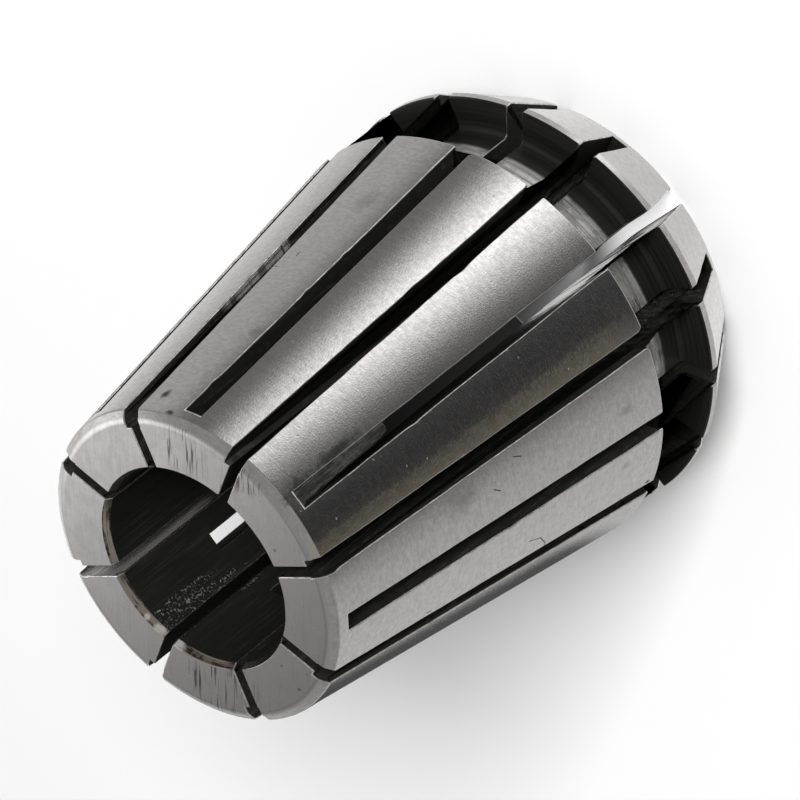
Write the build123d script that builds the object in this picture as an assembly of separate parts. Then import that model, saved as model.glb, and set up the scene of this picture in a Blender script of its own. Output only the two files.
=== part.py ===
from build123d import *
import math
import os

os.makedirs("parts", exist_ok=True)

# Overall sizes, in millimetres. The collet stands on its nose face, which is z = 0.
rim_diameter = 26.0
overall_length = 34.0
bore_diameter = 12.0
rim_radius = rim_diameter / 2
bore_radius = bore_diameter / 2

# Nose: the short 30 degree cone that the clamping nut presses on, and its rim.
nose_cone_angle = 30.0
nose_cone_height = 4.15
rim_land = 0.5
rim_back = nose_cone_height + rim_land
nose_face_radius = rim_radius - nose_cone_height * math.tan(math.radians(nose_cone_angle))

# Groove behind the rim, for the nut's eccentric ring.
groove_diameter = 22.0
groove_width = 4.6
groove_radius = groove_diameter / 2
groove_end = rim_back + groove_width
groove_corner = 0.3

# Body: the long 8 degree cone that seats in the chuck.
body_angle = 8.0
tail_chamfer_radial = 0.5
tail_chamfer_axial = 0.34
edge_break = 0.1

# Mouths of the bore.
nose_mouth = 0.5
tail_mouth_radial = 0.22
tail_mouth_axial = 0.42

# Slots: eight of each set, taking turns round the collet. The tail set is indexed a
# little past the middle.
slots_per_set = 8
slot_pitch = 360.0 / slots_per_set
slot_width = 1.0
outside = rim_radius + 1.0
past_end = 1.0
tail_set_turn = slot_pitch / 2 + 0.6

# Nose slots are open at the nose and run out on the arc of the saw near the tail.
saw_radius = 30.0
saw_floor = 3.0
saw_stop = 14.17

# Tail slots are open at the tail: a wide outer slot with a ledge, then a thin slit.
ledge_radius = 8.6
web_thickness = 0.45
slit_width = 0.6
slit_stop = 3.0
slit_shift = 0.15
slit_overlap = 0.3


def bodyRadius(height):
    """The radius of the long cone at the given height."""
    return rim_radius - (height - groove_end) * math.tan(math.radians(body_angle))


def turnedBlank():
    """The slotless collet, one closed section turned about Z."""
    chamfer_foot = overall_length - tail_chamfer_axial
    outline = Polyline(
        (bore_radius + nose_mouth, 0, 0),
        (nose_face_radius, 0, 0),
        (rim_radius, 0, nose_cone_height),
        (rim_radius, 0, rim_back),
        (groove_radius, 0, rim_back),
        (groove_radius, 0, groove_end),
        (rim_radius, 0, groove_end),
        (bodyRadius(chamfer_foot), 0, chamfer_foot),
        (bodyRadius(overall_length) - tail_chamfer_radial, 0, overall_length),
        (bore_radius + tail_mouth_radial, 0, overall_length),
        (bore_radius, 0, overall_length - tail_mouth_axial),
        (bore_radius, 0, nose_mouth),
        close=True,
    )
    section = make_face(outline)
    section = roundCorner(section, groove_radius, rim_back, groove_corner)
    section = roundCorner(section, groove_radius, groove_end, groove_corner)
    section = breakEdge(section, rim_radius, rim_back)
    section = breakEdge(section, rim_radius, groove_end)
    section = breakEdge(section, nose_face_radius, 0)
    return revolve(section, Axis.Z, 360)


def cornerAt(section, radius, height):
    """The section's corner that lies nearest to the given radius and height."""
    target = Vector(radius, 0, height)
    return min(section.vertices(), key=lambda v: (Vector(*tuple(v)) - target).length)


def roundCorner(section, radius, height, rounding):
    return fillet(cornerAt(section, radius, height), rounding)


def breakEdge(section, radius, height):
    return chamfer(cornerAt(section, radius, height), edge_break)


def plate(outline, width):
    """A flat cutter of the given width, its outline drawn in radius and height."""
    face = make_face(outline)
    return extrude(face, amount=width / 2, both=True)


def noseSlotCutter():
    """Open at the nose, with the saw's arc as its far end."""
    axis_radius = saw_floor + saw_radius
    reach = math.sqrt(saw_radius ** 2 - (axis_radius - outside) ** 2)
    half_turn = math.asin(reach / saw_radius) / 2
    middle = (
        axis_radius - saw_radius * math.cos(half_turn),
        0,
        saw_stop + saw_radius * math.sin(half_turn),
    )
    start = (saw_floor, 0, saw_stop)
    finish = (outside, 0, saw_stop + reach)
    arc = ThreePointArc(start, middle, finish)
    rest = Polyline(finish, (outside, 0, -past_end), (saw_floor, 0, -past_end), start)
    return plate(arc + rest, slot_width)


def tailSlotCutter():
    """Open at the tail, cut down to the ledge and left closed by a thin web at the nose."""
    top = overall_length + past_end
    outline = Polyline(
        (ledge_radius, 0, web_thickness),
        (outside, 0, web_thickness),
        (outside, 0, top),
        (ledge_radius, 0, top),
        close=True,
    )
    return plate(outline, slot_width)


def slitCutter():
    """One straight thin cut across the whole bore, from ledge to ledge."""
    top = overall_length + past_end
    reach = ledge_radius + slit_overlap
    outline = Polyline(
        (-reach, 0, slit_stop),
        (reach, 0, slit_stop),
        (reach, 0, top),
        (-reach, 0, top),
        close=True,
    )
    return Pos(0, -slit_shift, 0) * plate(outline, slit_width)


collet = turnedBlank()

# The two sets interleave, so the wall becomes one continuous zigzag of sixteen fingers.
nose_slot = noseSlotCutter()
tail_slot = tailSlotCutter()
for index in range(slots_per_set):
    turn = index * slot_pitch
    collet = collet - Rot(0, 0, turn) * nose_slot
    collet = collet - Rot(0, 0, turn + tail_set_turn) * tail_slot

# Each slit serves two opposite tail slots.
slit = slitCutter()
for index in range(slots_per_set // 2):
    turn = index * slot_pitch - slot_pitch + tail_set_turn
    collet = collet - Rot(0, 0, turn) * slit

export_step(collet, "parts/collet_body.step")
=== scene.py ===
import bpy
import math
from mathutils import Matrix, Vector, noise


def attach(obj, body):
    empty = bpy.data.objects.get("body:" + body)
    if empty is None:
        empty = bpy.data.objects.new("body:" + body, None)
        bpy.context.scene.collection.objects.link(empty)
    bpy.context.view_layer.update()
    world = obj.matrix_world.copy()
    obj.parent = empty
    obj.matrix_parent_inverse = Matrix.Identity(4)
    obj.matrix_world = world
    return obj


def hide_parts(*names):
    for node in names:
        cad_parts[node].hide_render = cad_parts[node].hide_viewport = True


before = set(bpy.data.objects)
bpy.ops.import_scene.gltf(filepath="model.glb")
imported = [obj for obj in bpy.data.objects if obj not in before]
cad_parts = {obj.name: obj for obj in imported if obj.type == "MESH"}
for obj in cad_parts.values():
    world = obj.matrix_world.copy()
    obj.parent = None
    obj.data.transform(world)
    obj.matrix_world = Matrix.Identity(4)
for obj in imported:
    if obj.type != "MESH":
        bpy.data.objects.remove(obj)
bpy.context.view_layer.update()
print("frame loaded")

mm = 0.001

# Sizes in millimetres, the same ones the solid was turned and slotted to.
collet = {
    "rimRadius": 13.0,
    "length": 34.0,
    "boreRadius": 6.0,
    "noseAngle": 30.0,
    "noseConeHeight": 4.15,
    "rimBack": 4.65,
    "grooveRadius": 11.0,
    "grooveEnd": 9.25,
    "grooveCorner": 0.3,
    "bodyAngle": 8.0,
    "tailChamfer": (0.5, 0.34),     # across the end face, along the body
    "chamferRounding": (0.2, 0.7),  # its outer and its inner edge
    "noseMouth": 0.5,
    "tailMouth": (0.22, 0.42),
    "turnedBreak": 0.09,            # rounding of the turned edges
    "slotHalf": 0.5,
    "sawRadius": 30.0,
    "sawFloor": 3.0,
    "sawStop": 14.17,
    "slotPitch": 45.0,              # degrees between slots of one set
    "tailSetTurn": 23.1,            # degrees from a nose slot round to the next tail slot
    "ledge": 8.6,
    "web": 0.45,
    "slitHalf": 0.3,
    "slitShift": 0.15,
    "slitStop": 3.0,
}

# Wear of the sawn edges, millimetres. A wander is a list of (scale, size).
edgeWear = {
    "slotBreak": 0.07,              # edge break along the slots
    "breakWander": [(1.3, 0.022), (0.4, 0.008)],
    "leastBreak": 0.03,
    "breakDepth": 0.07,
    "lipDepth": 0.25,               # strip of wall just under the edge, which follows its nicks
    "waver": 0.03,                  # how far a sawn edge strays from straight
    "waverWander": [(2.9, 1.0), (0.6, 0.3)],
    "waverShift": 0.4,              # share of the waver that lies on the slot's side
    "seeds": (7.31, 2.17, 4.7),     # set slots and sides apart in the noise
    "cornerFade": (11.4, 1.2),      # radius where worn corners begin on the end of the body, and their run
    # finger corners worn round where the body meets the groove: slot, side, radius
    "corners": [(2, -1, 0.42), (1, 1, 0.26), (1, -1, 0.12), (15, 1, 0.34), (15, -1, 0.3), (14, 1, 0.2)],
    # nicks along the slot edges: slot, side, height along the collet, how deep, how long
    "nicks": [(2, 1, 19.2, 0.07, 0.2), (2, 1, 22.6, 0.06, 0.25), (2, 1, 30.6, 0.08, 0.3),
              (1, -1, 16.2, 0.06, 0.5), (1, 1, 19.0, 0.06, 0.6), (15, -1, 33.2, 0.09, 0.3),
              (4, 1, 14.5, 0.08, 0.3), (4, 1, 24.0, 0.06, 0.3), (3, 1, 22.0, 0.07, 0.2),
              (3, 1, 30.0, 0.06, 0.2), (0, -1, 24.6, 0.05, 0.3), (14, -1, 21.0, 0.05, 0.4)],
}

# How finely the surface is divided.
division = {
    "samePoint": 0.004,             # rows nearer than this are one
    "cutGap": 0.3,                  # share of a step that a cut keeps clear of other rows
    "smallRounding": 0.2,
    "arcDegrees": (18, 9),          # a step on small and on larger roundings
    "fingerColumns": 10,
    "gather": 0.06,                 # how much the columns crowd towards the slots
    "runOutSteps": 10,
    "halvings": 50,
}

edgeDepth = edgeWear["breakDepth"]
lipDepth = edgeDepth + edgeWear["lipDepth"]


def bodyRadius(z):
    return collet["rimRadius"] - (z - collet["grooveEnd"]) * math.tan(math.radians(collet["bodyAngle"]))


def noseRadius(z):
    slope = math.tan(math.radians(collet["noseAngle"]))
    return collet["rimRadius"] - (collet["noseConeHeight"] - z) * slope


def sawPoint(turn):
    # (radius, height) on the run-out of a nose slot
    middle = collet["sawFloor"] + collet["sawRadius"]
    across = middle - collet["sawRadius"] * math.cos(turn)
    return across, collet["sawStop"] + collet["sawRadius"] * math.sin(turn)


def solveTurn(test):
    # turn along the run-out where the test goes from negative to positive
    low, high = 0.0, 1.2
    for halving in range(division["halvings"]):
        middle = (low + high) / 2
        if test(*sawPoint(middle)) < 0:
            low = middle
        else:
            high = middle
    return (low + high) / 2


def sawUnderCone(depth):
    lean = math.cos(math.radians(collet["bodyAngle"]))
    return solveTurn(lambda x, z: math.hypot(x, collet["slotHalf"]) - bodyRadius(z) + depth / lean)


def sawUnderBore(depth):
    return solveTurn(lambda x, z: math.hypot(x, collet["slotHalf"]) - collet["boreRadius"] - depth)


def roundedOutline(corners):
    # closed outline of (radius, height, rounding, zone, step, cuts) into rows of
    # (radius, height, normal out, normal up, zone); zone, step and cuts are for the line that follows
    count = len(corners)
    lines = []
    for index in range(count):
        here, after = corners[index], corners[(index + 1) % count]
        run = Vector((after[0] - here[0], after[1] - here[1]))
        lines.append((Vector(here[:2]), run.normalized(), run.length))
    rows = []
    for index in range(count):
        start, along, length = lines[index]
        before = lines[index - 1]
        following = lines[(index + 1) % count]
        inset = corners[index][2] * math.tan(abs(before[1].angle_signed(along, 0)) / 2)
        tail = corners[(index + 1) % count][2] * math.tan(abs(along.angle_signed(following[1], 0)) / 2)
        rounding, zone, step, cuts = corners[index][2:6]
        out = Vector((along.y, -along.x))
        if rounding > 0:
            rows += arcRows(start, before[1], along, rounding, inset, zone)
        marks = [inset]
        pieces = max(1, round((length - inset - tail) / step))
        for piece in range(1, pieces):
            marks.append(inset + (length - inset - tail) * piece / pieces)
        marks.append(length - tail)
        clear = division["cutGap"] * step
        for cut in cuts:
            place = (Vector(cut) - start).dot(along)
            marks = [m for m in marks if abs(m - place) > clear or m in (marks[0], marks[-1])]
            marks.append(place)
        for mark in sorted(marks):
            spot = start + along * mark
            rows.append((spot.x, spot.y, out.x, out.y, zone))
    return dropRepeats(rows)


def arcRows(corner, before, along, rounding, inset, zone):
    # inner rows of the rounding between two lines, ends left to the lines
    turn = -before.angle_signed(along, 0)
    side = 1 if turn > 0 else -1
    out = Vector((before.y, -before.x))
    centre = corner - before * inset - out * side * rounding
    degrees = division["arcDegrees"][0 if rounding < division["smallRounding"] else 1]
    pieces = max(2, round(abs(turn) / math.radians(degrees)))
    rows = []
    for piece in range(1, pieces):
        spin = turn * piece / pieces
        aim = Vector((out.x * math.cos(spin) - out.y * math.sin(spin),
                      out.x * math.sin(spin) + out.y * math.cos(spin)))
        spot = centre + aim * side * rounding
        rows.append((spot.x, spot.y, aim.x, aim.y, zone))
    return rows


def dropRepeats(rows):
    kept = []
    for row in rows:
        if kept and math.dist(row[:2], kept[-1][:2]) < division["samePoint"]:
            continue
        kept.append(row)
    if math.dist(kept[0][:2], kept[-1][:2]) < division["samePoint"]:
        kept.pop()
    return kept


# Places in the section where the slots end: (radius, height).
overlap = edgeWear["slotBreak"]
boreCutHeight = sawPoint(sawUnderBore(0))[1] + overlap
bodyCutHeight = sawPoint(sawUnderCone(0))[1] + overlap
slotEnds = {
    "boreCut": (collet["boreRadius"], boreCutHeight),
    "bodyCut": (bodyRadius(bodyCutHeight), bodyCutHeight),
    "web": (noseRadius(collet["web"] - overlap), collet["web"] - overlap),
    "ledge": (collet["ledge"] - overlap, collet["length"]),
    "slit": (collet["boreRadius"], collet["slitStop"] - overlap),
}


def colletRows():
    c, ends = collet, slotEnds
    across, along = c["tailChamfer"]
    foot = c["length"] - along
    chamferTop = bodyRadius(c["length"]) - across
    corners = [
        (c["boreRadius"], 15.0, 0.0, "bore", 0.6, [ends["slit"]]),
        (c["boreRadius"], c["noseMouth"], 0.05, "noseMouth", 0.3, []),
        (c["boreRadius"] + c["noseMouth"], 0.0, 0.05, "noseFace", 0.4, []),
        (noseRadius(0), 0.0, c["turnedBreak"], "noseCone", 0.25, [ends["web"]]),
        (c["rimRadius"], c["noseConeHeight"], 0.12, "land", 0.12, []),
        (c["rimRadius"], c["rimBack"], c["turnedBreak"], "rimBack", 0.25, []),
        (c["grooveRadius"], c["rimBack"], c["grooveCorner"], "grooveFloor", 0.25, []),
        (c["grooveRadius"], c["grooveEnd"], c["grooveCorner"], "bodyEnd", 0.2, []),
        (c["rimRadius"], c["grooveEnd"], c["turnedBreak"], "body", 0.2, [ends["bodyCut"]]),
        (bodyRadius(foot), foot, c["chamferRounding"][0], "tailChamfer", 0.15, []),
        (chamferTop, c["length"], c["chamferRounding"][1], "tailFace", 0.2, [ends["ledge"]]),
        (c["boreRadius"] + c["tailMouth"][0], c["length"], 0.04, "mouth", 0.2, []),
        (c["boreRadius"], c["length"] - c["tailMouth"][1], 0.06, "bore", 0.5, [ends["boreCut"]]),
    ]
    return roundedOutline(corners)


rows = colletRows()


def rowAt(name):
    return min(range(len(rows)), key=lambda i: math.dist(rows[i][:2], slotEnds[name]))


def rowRange(first, last):
    # rows from first to last, going on past the end of the list if need be
    count = (last - first) % len(rows)
    return [(first + step) % len(rows) for step in range(count + 1)]


rowBoreCut, rowBodyCut, rowWeb = rowAt("boreCut"), rowAt("bodyCut"), rowAt("web")
rowLedge, rowSlit = rowAt("ledge"), rowAt("slit")
noseSlotRows = rowRange(rowBoreCut, rowBodyCut)
wideSlotRows = rowRange(rowWeb, rowLedge)
slitRows = rowRange(rowLedge, rowSlit)
print("section has", len(rows), "rows")

# Four straight cuts make the slits, so half of them lie to one side and half to the other.
slots = []
for index in range(8):
    turn = index * collet["slotPitch"]
    shift = collet["slitShift"] if 3 <= index <= 6 else -collet["slitShift"]
    slots.append({"kind": "nose", "turn": turn, "slit": 0.0})
    slots.append({"kind": "tail", "turn": turn + collet["tailSetTurn"], "slit": shift})


def wander(slot, side, row, waves, start=0.0):
    # a smooth wander along an edge, the same on every run
    radius, height = rows[row][:2]
    slotSeed, sideSeed, third = edgeWear["seeds"]
    for scale, size in waves:
        spot = Vector(((radius + height) / scale, slot * slotSeed + side * sideSeed, third))
        start += noise.noise(spot) * size
    return start


def edgeBreak(slot, side, row):
    width = wander(slot, side, row, edgeWear["breakWander"], edgeWear["slotBreak"])
    return max(edgeWear["leastBreak"], width)


def edgeLoss(slot, side, row):
    # how far the whole edge is set back: rounded finger corners, nicks and the saw's waver
    radius, height, out, up, zone = rows[row]
    lost = 0.0
    if zone in ("body", "bodyEnd"):
        start, run = edgeWear["cornerFade"]
        outward = min(1.0, max(0.0, (radius - start) / run))
        for where, which, rounding in edgeWear["corners"]:
            gap = max(0.0, height - collet["grooveEnd"])
            if where == slot and which == side and gap < rounding:
                lost = max(lost, outward * (rounding - math.sqrt(rounding ** 2 - (rounding - gap) ** 2)))
    if zone in ("body", "tailChamfer"):
        for where, which, place, deep, long in edgeWear["nicks"]:
            if where == slot and which == side:
                lost = max(lost, deep * math.exp(-((height - place) / long) ** 2))
    if zone in ("body", "tailChamfer", "land", "noseCone"):
        stray = wander(slot, side + 5, row, edgeWear["waverWander"])
        lost += edgeWear["waver"] * max(0.0, edgeWear["waverShift"] + stray)
    return lost


def setBack(slot, offset, side, row):
    # a slot's line as it lies in the surface; side 0 is its middle
    if side:
        offset += side * (edgeBreak(slot, side, row) + edgeLoss(slot, side, row))
    return offset


mesh = {"points": [], "keys": {}, "faces": [], "normals": [], "finish": []}


def pointIndex(point):
    key = tuple(round(value, 4) for value in point)
    if key not in mesh["keys"]:
        mesh["keys"][key] = len(mesh["points"])
        mesh["points"].append(point)
    return mesh["keys"][key]


def addFace(corners, finish):
    # corners are (point, normal) pairs; the winding follows the normals
    indexes, normals, places = [], [], []
    for point, normal in corners:
        index = pointIndex(point)
        if index not in indexes:
            indexes.append(index)
            normals.append(normal)
            places.append(point)
    if len(indexes) < 3:
        return
    area = Vector((0, 0, 0))
    for a, b in zip(places, places[1:] + places[:1]):
        area += Vector(a).cross(Vector(b))
    if area.dot(sum((Vector(n) for n in normals), Vector((0, 0, 0)))) < 0:
        indexes.reverse()
        normals.reverse()
    mesh["faces"].append(indexes)
    mesh["normals"] += normals
    mesh["finish"].append(finish)


finishNames = ["groundSteel", "turnedOxide", "endFaceSteel", "brokenEdge", "sawnWall", "boreOxide",
               "mouthSteel"]
finishOf = {"bore": "boreOxide", "mouth": "mouthSteel", "noseMouth": "boreOxide", "noseFace": "endFaceSteel",
            "noseCone": "groundSteel", "land": "groundSteel", "rimBack": "turnedOxide",
            "grooveFloor": "turnedOxide", "bodyEnd": "turnedOxide", "body": "groundSteel",
            "tailChamfer": "groundSteel", "tailFace": "endFaceSteel"}


def slotLines(slot):
    # lines of one slot in the surface, as (offset from the slot's middle, side)
    half, thin, shift = collet["slotHalf"], collet["slitHalf"], slot["slit"]
    if slot["kind"] == "nose":
        return [(-half, -1), (0.0, 0), (half, 1)]
    return [(-half, -1), (shift - thin, -1), (shift, 0), (shift + thin, 1), (half, 1)]


def turned(point, degrees):
    c, s = math.cos(math.radians(degrees)), math.sin(math.radians(degrees))
    return (point[0] * c - point[1] * s, point[0] * s + point[1] * c, point[2])


def lineAngles(number, turn, offset, side):
    # the azimuth of one slot line in every row
    return [math.radians(turn) + math.asin(setBack(number, offset, side, row) / rows[row][0])
            for row in range(len(rows))]


def surfaceLines():
    # azimuths of every line round the collet, and the first and last line of each slot
    lines, spans = [], []
    for number, slot in enumerate(slots):
        first = len(lines)
        for offset, side in slotLines(slot):
            lines.append(lineAngles(number, slot["turn"], offset, side))
        spans.append((first, len(lines) - 1))
        following = (number + 1) % len(slots)
        turn = slots[following]["turn"] + (0.0 if following else 360.0)
        left, right = lines[-1], lineAngles(following, turn, *slotLines(slots[following])[0])
        columns = division["fingerColumns"]
        for column in range(1, columns):
            share = column / columns
            share -= division["gather"] * math.sin(2 * math.pi * share)
            lines.append([a + (b - a) * share for a, b in zip(left, right)])
    return lines, spans


def slotCells(spans):
    # cells of the surface that the slots take away, as (row, line)
    cells = set()
    for slot, (first, last) in zip(slots, spans):
        if slot["kind"] == "nose":
            cells |= {(row, line) for row in noseSlotRows[:-1] for line in range(first, last)}
        else:
            cells |= {(row, line) for row in wideSlotRows[:-1] for line in range(first, last)}
            cells |= {(row, line) for row in slitRows[:-1] for line in (first + 1, first + 2)}
    return cells


def buildSurface():
    lines, spans = surfaceLines()
    gone = slotCells(spans)
    for line in range(len(lines)):
        other = (line + 1) % len(lines)
        wrap = 2 * math.pi if other == 0 else 0.0
        for row in range(len(rows)):
            if (row, line) in gone:
                continue
            below = (row + 1) % len(rows)
            corners = []
            for r, angle in ((row, lines[line][row]), (row, lines[other][row] + wrap),
                             (below, lines[other][below] + wrap), (below, lines[line][below])):
                radius, height, out, up, zone = rows[r]
                c, s = math.cos(angle), math.sin(angle)
                corners.append(((radius * c, radius * s, height), (out * c, out * s, up)))
            addFace(corners, finishOf[rows[below][4]])


def onCircle(radius, y, z):
    return (math.sqrt(radius ** 2 - y ** 2), y, z)


def surfacePoint(number, offset, side, row):
    # the edge of a slot as it lies in the surface, in the slot's own frame
    radius, height, out, up, zone = rows[row]
    far = setBack(number, offset, side, row)
    point = onCircle(radius, far, height)
    return point, (out * point[0] / radius, out * far / radius, up)


def sunkPoint(number, offset, side, row, depth, follow):
    # a point of the slot wall, depth under the surface
    radius, height, out, up, zone = rows[row]
    far = offset + (side * edgeLoss(number, side, row) if follow else 0.0)
    return onCircle(radius - depth * out, far, height - depth * up)


def limitToSaw(point, depth):
    # keeps a wall point of a nose slot from passing the saw's arc near the body end of the slot
    across, height = sawPoint(sawUnderCone(depth))
    if point[0] > collet["boreRadius"] + 1.0 and point[2] > height:
        return (across, point[1], height)
    return point


def strip(first, second, finish, turn):
    # quads between two rows of (point, normal)
    for a, b, c, d in zip(first, first[1:], second[1:], second):
        addFace([(turned(p, turn), turned(n, turn)) for p, n in (a, b, c, d)], finish)


def plane(points, normal, finish, turn):
    addFace([(turned(p, turn), turned(normal, turn)) for p in points], finish)


def facing(points, normal):
    return [(point, normal) for point in points]


def buildWall(number, turn, offset, side, wallRows, ends, follow, limit=None):
    # edge and lip on one side of a cut, giving back the wall's outline below them;
    # ends holds the lip and wall points of rows where the cut stops
    edge, lip, wall = [], [], []
    for row in wallRows:
        edge.append(surfacePoint(number, offset, side, row))
        if row in ends:
            shallow, deep = ends[row]
        else:
            shallow = sunkPoint(number, offset, side, row, edgeDepth, follow)
            deep = sunkPoint(number, offset, side, row, lipDepth, False)
            if limit:
                shallow, deep = limit(shallow, edgeDepth), limit(deep, lipDepth)
        lip.append(shallow)
        wall.append(deep)
    wallNormal = (0, -side, 0)
    strip(edge, facing(lip, wallNormal), "brokenEdge", turn)
    strip(facing(lip, wallNormal), facing(wall, wallNormal), "sawnWall", turn)
    return wall


def buildNoseSlot(number, slot):
    turn, half = slot["turn"], collet["slotHalf"]
    outer = [sawPoint(sawUnderCone(edgeDepth)), sawPoint(sawUnderCone(lipDepth))]
    inner = [sawPoint(sawUnderBore(lipDepth)), sawPoint(sawUnderBore(edgeDepth))]
    low, high = sawUnderBore(lipDepth), sawUnderCone(lipDepth)
    steps = division["runOutSteps"]
    middle = [sawPoint(high + (low - high) * step / steps) for step in range(1, steps)]
    for side in (-1, 1):
        y = side * half
        ends = {rowBodyCut: [(x, y, z) for x, z in outer], rowBoreCut: [(x, y, z) for x, z in inner[::-1]]}
        wall = buildWall(number, turn, y, side, noseSlotRows, ends, True, limitToSaw)
        plane(wall + [(x, y, z) for x, z in middle], (0, -side, 0), "sawnWall", turn)
    # the saw's run-out and the edge at both of its ends
    sides = []
    for y in (-half, 0.0, half):
        line = []
        for x, z in outer + middle + inner:
            away = Vector((collet["sawFloor"] + collet["sawRadius"] - x, collet["sawStop"] - z)).normalized()
            line.append(((x, y, z), (away.x, 0, away.y)))
        sides.append(line)
    strip(sides[0], sides[1], "sawnWall", turn)
    strip(sides[1], sides[2], "sawnWall", turn)
    for row, spot in ((rowBodyCut, 0), (rowBoreCut, -1)):
        edge = [surfacePoint(number, y, side, row) for y, side in slotLines(slot)]
        strip(edge, [line[spot] for line in sides], "brokenEdge", turn)


def buildTailSlot(number, slot):
    turn, half, shift = slot["turn"], collet["slotHalf"], slot["slit"]
    top, ledge, web, stop = (collet[name] for name in ("length", "ledge", "web", "slitStop"))
    low, high = shift - collet["slitHalf"], shift + collet["slitHalf"]
    lean = math.cos(math.radians(collet["noseAngle"]))
    noseLip, noseWall = (noseRadius(web) - depth / lean for depth in (edgeDepth, lipDepth))
    boreLip, boreWall = (collet["boreRadius"] + depth for depth in (edgeDepth, lipDepth))
    for side, wide, thin in ((-1, -half, low), (1, half, high)):
        wallNormal = (0, -side, 0)
        # the wide slot, from the web at the nose to the ledge at the tail
        ends = {rowWeb: [onCircle(noseLip, wide, web), onCircle(noseWall, wide, web)],
                rowLedge: [(ledge, wide, top - edgeDepth), (ledge, wide, top - lipDepth)]}
        wall = buildWall(number, turn, wide, side, wideSlotRows, ends, True)
        plane(wall + [(ledge, wide, web)], wallNormal, "sawnWall", turn)
        # the slit, from the ledge down the bore
        ends = {rowLedge: [(ledge, thin, top - edgeDepth), (ledge, thin, top - lipDepth)],
                rowSlit: [onCircle(boreLip, thin, stop), onCircle(boreWall, thin, stop)]}
        wall = buildWall(number, turn, thin, side, slitRows, ends, False)
        plane(wall + [(ledge, thin, stop)], wallNormal, "sawnWall", turn)
        # the ledge beside the slit, and its edge on the tail face
        plane([(ledge, wide, top - edgeDepth), (ledge, thin, top - edgeDepth), (ledge, thin, top - lipDepth),
               (ledge, thin, stop), (ledge, thin, web), (ledge, wide, web), (ledge, wide, top - lipDepth)],
              (1, 0, 0), "sawnWall", turn)
        across = [surfacePoint(number, wide, side, rowLedge), surfacePoint(number, thin, side, rowLedge)]
        lip = [(ledge, wide, top - edgeDepth), (ledge, thin, top - edgeDepth)]
        strip(across, facing(lip, (1, 0, 0)), "brokenEdge", turn)
    # foot of the slit: the ledge below it and its end
    plane([(ledge, low, stop), (ledge, high, stop), (ledge, high, web), (ledge, low, web)],
          (1, 0, 0), "sawnWall", turn)
    upward = (0, 0, 1)
    foot = [onCircle(boreLip, y, stop) for y in (low, shift, high)]
    sunk = [onCircle(boreWall, y, stop) for y in (low, high)]
    plane(foot + [sunk[1], (ledge, high, stop), (ledge, low, stop), sunk[0]], upward, "sawnWall", turn)
    lines = slotLines(slot)
    boreEdge = [surfacePoint(number, y, side, rowSlit) for y, side in lines[1:-1]]
    strip(boreEdge, facing(foot, upward), "brokenEdge", turn)
    # the web left at the nose
    rim = [onCircle(noseLip, y, web) for y, side in lines]
    back = [onCircle(noseWall, y, web) for y in (-half, half)]
    plane(rim + [back[1], (ledge, half, web), (ledge, high, web), (ledge, low, web), (ledge, -half, web),
                 back[0]], upward, "sawnWall", turn)
    webEdge = [surfacePoint(number, y, side, rowWeb) for y, side in lines]
    strip(webEdge, facing(rim, upward), "brokenEdge", turn)


buildSurface()
for number, slot in enumerate(slots):
    if slot["kind"] == "nose":
        buildNoseSlot(number, slot)
    else:
        buildTailSlot(number, slot)


def addObject(name, data):
    thing = bpy.data.objects.new(name, data)
    bpy.context.scene.collection.objects.link(thing)
    return thing


colletMesh = bpy.data.meshes.new("springCollet")
colletMesh.from_pydata([tuple(v * mm for v in p) for p in mesh["points"]], [], mesh["faces"])
colletMesh.polygons.foreach_set("material_index", [finishNames.index(finish) for finish in mesh["finish"]])
colletMesh.polygons.foreach_set("use_smooth", [True] * len(mesh["faces"]))
colletMesh.update()
colletMesh.normals_split_custom_set([Vector(n).normalized() for n in mesh["normals"]])
springCollet = addObject("springCollet", colletMesh)
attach(springCollet, "root")
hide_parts("collet_body")
print("collet mesh:", len(mesh["points"]), "points,", len(mesh["faces"]), "faces")


def newMaterial(name):
    material = bpy.data.materials.new(name)
    material.use_nodes = True
    return material, material.node_tree, material.node_tree.nodes["Principled BSDF"]


def makeMaterial(name, build, look):
    material, tree, shader = newMaterial(name)
    build(tree, shader, look)
    return material


def give(tree, socket, value):
    # links another node's output, or sets a plain value
    if isinstance(value, bpy.types.NodeSocket):
        tree.links.new(value, socket)
    elif socket.type == "RGBA" and len(value) == 3:
        socket.default_value = (*value, 1)
    else:
        socket.default_value = value


def addNode(tree, kind, values=None, **settings):
    node = tree.nodes.new(kind)
    for key, value in settings.items():
        setattr(node, key, value)
    for key, value in (values or {}).items():
        give(tree, node.inputs[key], value)
    return node


def calc(tree, operation, *values, clamp=False):
    node = addNode(tree, "ShaderNodeMath", dict(enumerate(values)), operation=operation, use_clamp=clamp)
    return node.outputs[0]


def chained(tree, operation, values):
    result = values[0]
    for value in values[1:]:
        result = calc(tree, operation, result, value)
    return result


def times(tree, *values):
    return chained(tree, "MULTIPLY", values)


def plus(tree, *values):
    return chained(tree, "ADD", values)


def minus(tree, *values):
    return chained(tree, "SUBTRACT", values)


def strongest(tree, *masks):
    return chained(tree, "MAXIMUM", masks)


def vectorCalc(tree, operation, *values, output=0):
    node = addNode(tree, "ShaderNodeVectorMath", dict(enumerate(values)), operation=operation)
    return node.outputs[output]


def ranged(tree, value, start, end, low=0.0, high=1.0, smooth=True):
    kind = "SMOOTHSTEP" if smooth else "LINEAR"
    node = addNode(tree, "ShaderNodeMapRange", {0: value, 1: start, 2: end, 3: low, 4: high},
                   interpolation_type=kind)
    return node.outputs[0]


def blend(tree, share, first, second):
    node = addNode(tree, "ShaderNodeMix", {0: share, 6: first, 7: second}, data_type="RGBA")
    return node.outputs[2]


def joined(tree, *values):
    return addNode(tree, "ShaderNodeCombineXYZ", dict(enumerate(values))).outputs[0]


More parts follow.
